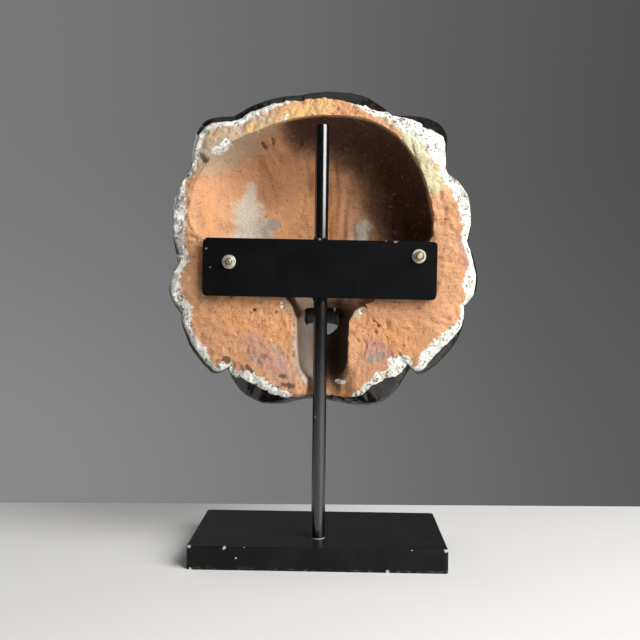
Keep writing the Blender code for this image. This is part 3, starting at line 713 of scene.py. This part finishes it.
class Wire:
    """A value in a material, with arithmetic on it."""

    def __init__(self, tree, socket):
        self.tree = tree
        self.socket = socket

    def node(self, kind, inputs, output=0, **settings):
        """Adds a node, sets or links its inputs, and returns one of its outputs."""
        made = self.tree.nodes.new(kind)
        for name, value in settings.items():
            setattr(made, name, value)
        for name, value in inputs.items():
            if isinstance(value, Wire):
                self.tree.links.new(value.socket, made.inputs[name])
            else:
                made.inputs[name].default_value = value
        return Wire(self.tree, made.outputs[output])

    def __add__(self, other):
        return self.node("ShaderNodeMath", {0: self, 1: other}, operation="ADD")

    def __sub__(self, other):
        return self.node("ShaderNodeMath", {0: self, 1: other}, operation="SUBTRACT")

    def __mul__(self, other):
        return self.node("ShaderNodeMath", {0: self, 1: other}, operation="MULTIPLY")

    def __or__(self, other):
        return self.node("ShaderNodeMath", {0: self, 1: other}, operation="MAXIMUM")

    def between(self, low, high):
        """Nought at low, one at high, and smooth between them."""
        return self.node("ShaderNodeMapRange", {"Value": self, "From Min": low, "From Max": high},
                         interpolation_type="SMOOTHSTEP")

    def over(self, colour, other):
        """The other colour laid over a colour, by this much."""
        return self.node("ShaderNodeMix", {0: self, 6: colour, 7: other}, 2, data_type="RGBA")


def colour(red, green, blue):
    return (red, green, blue, 1)


def new_material(name):
    """A new material: its principled shader, and a wire from its Object coordinates."""
    material = bpy.data.materials.new(name)
    material.use_nodes = True
    tree = material.node_tree
    shader = tree.nodes["Principled BSDF"]
    places = tree.nodes.new("ShaderNodeTexCoord")
    return material, shader, Wire(tree, places.outputs["Object"])


def noise(places, size, detail=3.0, stretch=None, roughness=0.55):
    """Noise from 0 to 1 whose bumps are about size across."""
    if stretch:
        places = places.node("ShaderNodeMapping", {"Vector": places, "Scale": stretch})
    return places.node("ShaderNodeTexNoise", {"Vector": places, "Scale": 1 / size, "Detail": detail,
                                              "Roughness": roughness})


def finish(shader, **values):
    """Sets or links the shader's inputs, which are named with _ for a space."""
    for name, value in values.items():
        socket = shader.inputs[name.replace("_", " ")]
        if isinstance(value, Wire):
            value.tree.links.new(value.socket, socket)
        else:
            socket.default_value = value


def raised(height, depth, strength=1.0):
    """A normal bent by a height from 0 to 1 that stands for so many metres."""
    return height.node("ShaderNodeBump", {"Height": height, "Distance": depth, "Strength": strength})


def clay_material():
    material, shader, places = new_material("terracotta_and_glaze")

    def field(name):
        return places.node("ShaderNodeAttribute", {}, 2, attribute_name=name)

    broad = noise(places, 0.045, 3)
    cloud = noise(places, 0.016, 5, roughness=0.62)
    fine = noise(places, 0.0046, 6, roughness=0.72)
    grit = noise(places, 0.0013, 4, roughness=0.75)
    speck = noise(places, 0.0021, 3, roughness=0.65)
    patch = noise(places, 0.0075, 3, roughness=0.6)
    streak = noise(places, 0.009, 6, (2.6, 1.0, 0.7), 0.70)
    # Bare clay: tan, with oranger, paler and browner places, and dark grit
    clay = broad.between(0.36, 0.64).over(colour(0.530, 0.262, 0.128), colour(0.600, 0.315, 0.158))
    clay = (cloud.between(0.50, 0.70) * 0.50).over(clay, colour(0.620, 0.270, 0.105))
    clay = (cloud.between(0.48, 0.30) * 0.50).over(clay, colour(0.380, 0.180, 0.092))
    clay = (streak.between(0.54, 0.74) * 0.40).over(clay, colour(0.330, 0.150, 0.076))
    ragged = (fine - 0.5) * 1.7 + (cloud - 0.5) * 1.3
    outside = field("inside").between(0.5, 0.1)
    for name, shade, cover in (
        ("orange", colour(0.690, 0.300, 0.105), field("orange") * 0.50),
        # The pale tint is the clay's paler colour, and also a painted highlight along the channel's left
        # edge.
        ("pale_and_highlight", colour(0.470, 0.370, 0.260), field("pale_and_highlight") * 0.75),
        # The brown tint, only inside the hollow, is partly the clay's own brown and partly painted shade
        # and a painted rod shadow.
        ("brown_and_shade", colour(0.050, 0.018, 0.007), field("brown_and_shade") * field("inside").between(0.1, 0.6) * 0.95),
        ("pink", colour(0.420, 0.225, 0.180), field("pink") * 0.65),
        ("gold", colour(0.680, 0.420, 0.160), field("gold") * outside * 0.75),
    ):
        clay = (cover + ragged * cover.between(0, 0.5) * 0.4).between(0.02, 0.95).over(clay, shade)
    clay = (fine.between(0.56, 0.74) * 0.55).over(clay, colour(0.740, 0.480, 0.290))
    clay = (grit.between(0.46, 0.30) * 0.60).over(clay, colour(0.170, 0.085, 0.044))
    clay = (speck.between(0.405, 0.33) * 0.75).over(clay, colour(0.120, 0.060, 0.034))
    clay = (patch.between(0.335, 0.27) * 0.60).over(clay, colour(0.120, 0.060, 0.034))
    # Stains with ragged edges; the dark one also lays painted shade in the pipe channel
    mottle = grit.between(0.30, 0.70)
    for name, dark, light, strength in (
        ("grey", colour(0.380, 0.325, 0.245), colour(0.600, 0.530, 0.430), 0.90),
        ("ash", colour(0.170, 0.160, 0.140), colour(0.330, 0.320, 0.285), 0.70),
        ("dark", colour(0.014, 0.010, 0.008), colour(0.070, 0.038, 0.024), 0.80),
    ):
        cover = (field(name) + ragged * field(name).between(0, 0.30)).between(0.12, 0.80) * strength
        clay = cover.over(clay, mottle.over(dark, light))
    # Chalk with dark specks and clay showing through
    chalk = (field("chalk") + ragged * field("chalk").between(0, 0.30)).between(0.34, 0.56)
    white = mottle.over(colour(0.640, 0.610, 0.540), colour(0.850, 0.845, 0.800))
    white = (patch.between(0.44, 0.36) * 0.55).over(white, colour(0.430, 0.300, 0.180))
    specks = (speck * 0.75 + patch * 0.25).between(0.455, 0.405) * 0.92
    white = specks.over(white, colour(0.040, 0.034, 0.026))
    surface = chalk.over(clay, white)
    moss = (field("green") * outside + ragged * 0.5).between(0.25, 0.75) * 0.72
    surface = moss.over(surface, mottle.over(colour(0.360, 0.390, 0.220), colour(0.660, 0.680, 0.470)))
    # Glaze: black, with amber where it is thin
    glaze = (field("glaze") + (fine - 0.5) * 0.5).between(0.42, 0.52)
    thin = (field("thin") * 0.8 + (cloud - 0.5) * 1.6 + (fine - 0.5) * 0.5).between(0.70, 1.05)
    coat = (thin * 0.85).over(colour(0.0060, 0.0050, 0.0045), colour(0.130, 0.044, 0.010))
    surface = glaze.over(surface, coat)
    rough = glaze.between(1, 0) * 0.74 + 0.14 + cloud * 0.08
    pits = (grit * 0.45 + fine * 0.60 + patch * 0.40) * glaze.between(1, 0)
    pits = pits + glaze * (cloud * 0.5 + patch * 0.2)
    finish(shader, Base_Color=surface, Roughness=rough, Normal=raised(pits, 0.0032, 1.0))
    return material


def lacquer_material():
    """Black lacquered wood: satin, scuffed on top, worn to the wood along its lower edge."""
    material, shader, places = new_material("worn_black_lacquer")
    across, back, height = split(places)
    cloud = noise(places, 0.030, 4)
    fine = noise(places, 0.0018, 4, roughness=0.7)
    scuff = noise(places, 0.012, 5, (0.25, 1.0, 1.0), 0.7)
    flecks = noise(places, 0.0042, 2)
    black = cloud.between(0.3, 0.7).over(colour(0.0045, 0.0045, 0.0050), colour(0.0075, 0.0075, 0.0080))
    rubbed = (scuff.between(0.62, 0.74) * 0.35).over(black, colour(0.030, 0.029, 0.028))
    # Chips show pale primer or brown wood: along the lower edge, at the corners and a few on the face
    low = height.between(0.0035, 0.0002) * flecks.between(0.52, 0.62)
    surface = (low * 0.5).over(rubbed, colour(0.13, 0.090, 0.065))
    chips = spots((across, height), BASE_CHIPS, (flecks - 0.5) * 0.004, 0.6)
    chips = chips * back.between(BASE_HIGH.y - 0.004, BASE_HIGH.y - 0.002)
    surface = (chips * 0.85).over(surface, colour(0.42, 0.40, 0.37))
    rough = scuff * 0.20 + cloud * 0.12 + 0.22 + low * 0.3
    shader.inputs["Specular IOR Level"].default_value = 0.13
    finish(shader, Base_Color=surface, Roughness=rough, Normal=raised(fine * 0.3 + cloud, 0.0004, 0.30))
    return material


def split(places):
    """Wires of the X, Y and Z of a place."""
    parts = places.node("ShaderNodeSeparateXYZ", {"Vector": places})
    return tuple(Wire(places.tree, socket) for socket in parts.socket.node.outputs)


def distance(wires, at):
    """How far two wires are from a pair of numbers."""
    first = wires[0] - at[0]
    second = wires[1] - at[1]
    total = first * first + second * second
    return total.node("ShaderNodeMath", {0: total, 1: 0.5}, operation="POWER")


def spots(wires, table, ragged, solid):
    """Ragged spots at each place and size of a table, full up to a solid share of their size."""
    covers = [(distance(wires, (x, z)) + ragged).between(size, size * solid) for x, z, size in table]
    return functools.reduce(operator.or_, covers)


def paint_material(name, gloss, roughness):
    """Black paint on steel, with a soft brushed unevenness and rubbed spots."""
    material, shader, places = new_material(name)
    across, back, height = split(places)
    cloud = noise(places, 0.025, 4)
    fine = noise(places, 0.0012, 4, roughness=0.7)
    rub = noise(places, 0.006, 5, (0.5, 1.0, 1.6), 0.7)
    black = cloud.between(0.3, 0.7).over(colour(0.0015, 0.0015, 0.0018), colour(0.0030, 0.0030, 0.0036))
    surface = (rub.between(0.66, 0.80) * 0.25).over(black, colour(0.050, 0.046, 0.042))
    worn = spots((across, height), PAINT_CHIPS, (rub - 0.5) * 0.006, 0.5)
    surface = (worn * 0.7).over(surface, colour(0.24, 0.20, 0.16))
    # Pale ring painted round the rod just above the board
    over_foot = height - (BASE_HIGH.z + 0.0004)
    ring = over_foot.node("ShaderNodeMath", {0: over_foot}, operation="ABSOLUTE").between(0.0005, 0.0002)
    surface = (ring * 0.8).over(surface, colour(0.50, 0.49, 0.47))
    shader.inputs["Specular IOR Level"].default_value = gloss
    finish(shader, Base_Color=surface, Roughness=rub * 0.10 + roughness,
           Normal=raised(fine * 0.15 + cloud, 0.0002, 0.20))
    return material


def metal_material(name, bright, dull):
    material, shader, places = new_material(name)
    cloud = noise(places, 0.0035, 4)
    fine = noise(places, 0.0006, 3)
    finish(shader, Base_Color=cloud.between(0.35, 0.70).over(bright, dull), Metallic=0.85,
           Roughness=cloud * 0.35 + 0.22, Normal=raised(fine, 0.0001, 0.5))
    return material


def new_piece(name, mesh, node, material, smooth_under=35):
    """Makes a piece from a bmesh and puts it on the model in place of a node, or beside it."""
    piece = make_object(name, mesh, smooth_under)
    piece.data.materials.append(material)
    if node:
        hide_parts(node)
    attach(piece, "root")
    return piece


def make_rod(material):
    """The upright, round and smooth, with an eased top end."""
    mesh = bmesh.new()
    low, high = ROD_LOW.z, ROD_HIGH.z
    ease = 0.0012
    rows = [(low, 0), (low, ROD_RADIUS)]
    steps = 60
    rows += [(low + (high - ease - low) * step / steps, ROD_RADIUS) for step in range(1, steps)]
    for step in range(5):
        turn = math.pi / 2 * step / 4
        rows.append((high - ease + ease * math.sin(turn), ROD_RADIUS - ease + ease * math.cos(turn)))
    rows.append((high, 0))
    turned(mesh, rows, 64, Matrix.Translation((0, ROD_Y, 0)))
    new_piece("upright", mesh, "rod", material)


def make_welds(material):
    """Lumps of weld where the rod meets the plate, above and below it."""
    mesh = bmesh.new()
    for side, count, size in ((1, 6, 0.0016), (-1, 9, 0.0021)):
        edge = PLATE_MIDDLE + side * PLATE_HEIGHT / 2
        for step in range(count):
            share = step / (count - 1)
            x = ROD_RADIUS * (1.5 * share - 0.75)
            lump = size * (0.8 + 0.35 * math.sin(5.1 * step + side))
            place = Matrix.Translation((x, PLATE_FRONT + 0.0006, edge + side * lump * 0.35))
            bmesh.ops.create_icosphere(mesh, subdivisions=3, radius=lump, matrix=place)
    new_piece("weld_lumps", mesh, None, material, 60)


def ends_and_half_width(node):
    """Where a piece of a fixing starts and ends along Y, and half its width."""
    low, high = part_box(node)
    return low.y, high.y, (high.x - low.x) / 2


def make_fixings():
    """Threaded stud, washer and chamfered hexagon nut at each end of the plate."""
    bright = metal_material("bright_steel", colour(0.78, 0.76, 0.68), colour(0.50, 0.46, 0.38))
    olive = metal_material("olive_zinc", colour(0.42, 0.34, 0.17), colour(0.20, 0.15, 0.07))
    cream = metal_material("cream_zinc", colour(0.75, 0.68, 0.46), colour(0.45, 0.38, 0.22))
    finishes = {"left": (bright, olive), "right": (olive, cream)}
    sides = 48
    turn = np.arange(sides) * math.tau / sides
    flat = ends_and_half_width("nut_left")[2]
    hexagon = flat / np.cos((turn + math.pi / 6) % (math.pi / 3) - math.pi / 6)
    bore = STUD_RADIUS + HOLE_GAP
    for name, place in fixing_places():
        low, high, wide = ends_and_half_width("washer_" + name)
        mesh = bmesh.new()
        ease = 0.0003
        rows = [(low, bore), (high, bore), (high, wide - ease), (high - ease, wide), (low + ease, wide),
                (low, wide - ease), (low, bore)]
        turned(mesh, rows, sides, place)
        new_piece("washer_ring_" + name, mesh, "washer_" + name, bright)
        low, high, _ = ends_and_half_width("nut_" + name)
        mesh = bmesh.new()
        ease = 0.0004
        rows = [(low, bore + ease), (low + ease, bore), (high - ease, bore), (high, bore + ease)]
        for height in np.linspace(high, low, 12):
            end = min(high - height, height - low)
            rows.append((height, np.minimum(hexagon, flat - 0.0001 + end * 1.7)))
        rows.append((low, bore + ease))
        turned(mesh, rows, sides, place)
        new_piece("hexagon_nut_" + name, mesh, "nut_" + name, finishes[name][0], 30)
        low, high, _ = ends_and_half_width("stud_" + name)
        mesh = bmesh.new()
        rows = [(low, 0)]
        for height in np.linspace(low, high, round((high - low) / THREAD_PITCH * 8)):
            phase = (height / THREAD_PITCH - turn / math.tau) % 1
            thread = 0.0006 * np.abs(2 * phase - 1)
            end = max(0.0, 0.0008 - (high - height))
            rows.append((height, STUD_RADIUS - np.maximum(thread, end)))
        rows.append((high, 0))
        turned(mesh, rows, sides, place)
        new_piece("threaded_stud_" + name, mesh, "stud_" + name, finishes[name][1], 30)


def make_camera():
    yaw = Vector((-math.cos(CAMERA_YAW), math.sin(CAMERA_YAW), 0))
    ahead = Vector((-math.sin(CAMERA_YAW) * math.cos(CAMERA_PITCH),
                    -math.cos(CAMERA_YAW) * math.cos(CAMERA_PITCH), -math.sin(CAMERA_PITCH)))
    upward = yaw.cross(ahead)
    right = yaw * math.cos(CAMERA_ROLL) + upward * math.sin(CAMERA_ROLL)
    top = upward * math.cos(CAMERA_ROLL) - yaw * math.sin(CAMERA_ROLL)
    data = bpy.data.cameras.new("camera")
    data.lens = CAMERA_LENS
    camera = bpy.data.objects.new("camera", data)
    camera.matrix_world = Matrix.Translation(CAMERA_AT) @ Matrix((right, top, -ahead)).transposed().to_4x4()
    bpy.context.scene.collection.objects.link(camera)
    bpy.context.scene.camera = camera


def make_light(name, at, towards, width, height, power):
    data = bpy.data.lights.new(name, "AREA")
    data.shape = "RECTANGLE"
    data.size = width
    data.size_y = height
    data.energy = power
    light = bpy.data.objects.new(name, data)
    light.location = at
    light.rotation_euler = (Vector(towards) - Vector(at)).to_track_quat("-Z", "Y").to_euler()
    bpy.context.scene.collection.objects.link(light)


def make_floor():
    mesh = bmesh.new()
    corners = [(-1.6, -0.235, 0), (1.6, -0.111, 0), (1.6, 1.8, 0), (-1.6, 1.8, 0)]
    mesh.faces.new([mesh.verts.new(corner) for corner in corners])
    floor = make_object("floor", mesh)
    material, shader, places = new_material("pale_floor")
    finish(shader, Base_Color=colour(0.66, 0.65, 0.63), Roughness=0.45)
    floor.data.materials.append(material)


def make_studio():
    """A wide soft window of light on the right of the photograph, a weak one on the lion's face and one
    overhead, and a dark room with a grey wall ahead."""
    middle = (0, 0, 0.24)
    make_light("key", (-1.02, 0.92, 1.04), middle, 1.35, 1.40, 66)
    make_light("top", (0.0, -0.25, 1.6), middle, 1.0, 1.0, 1.2)
    make_light("face", (1.50, -1.10, 0.75), middle, 0.9, 0.9, 7)
    world = bpy.data.worlds.new("grey_room")
    world.use_nodes = True
    tree = world.node_tree
    ways = tree.nodes.new("ShaderNodeTexCoord")
    side, back, height = split(Wire(tree, ways.outputs["Generated"]))
    high = side.between(-0.45, 0.45).over(colour(0.075, 0.075, 0.076), colour(0.190, 0.190, 0.192))
    low = side.between(-0.45, 0.45).over(colour(0.100, 0.100, 0.101), colour(0.258, 0.258, 0.260))
    wall = height.between(-0.22, 0.18).over(low, high)
    room = back.between(-0.90, -0.60).over(wall, colour(0.022, 0.022, 0.023))
    tree.links.new(room.socket, tree.nodes["Background"].inputs["Color"])
    bpy.context.scene.world = world
    bpy.context.scene.view_settings.view_transform = "Standard"


def main():
    make_camera()
    make_floor()
    make_mask()
    lacquer = lacquer_material()
    paint = paint_material("satin_black_paint", 0.12, 0.30)
    make_rod(paint_material("gloss_black_paint", 1.0, 0.13))
    make_welds(paint)
    make_fixings()
    for name, material in (("base", lacquer), ("cross_plate", paint)):
        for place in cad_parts[name].material_slots:
            place.material = material
    make_studio()


main()
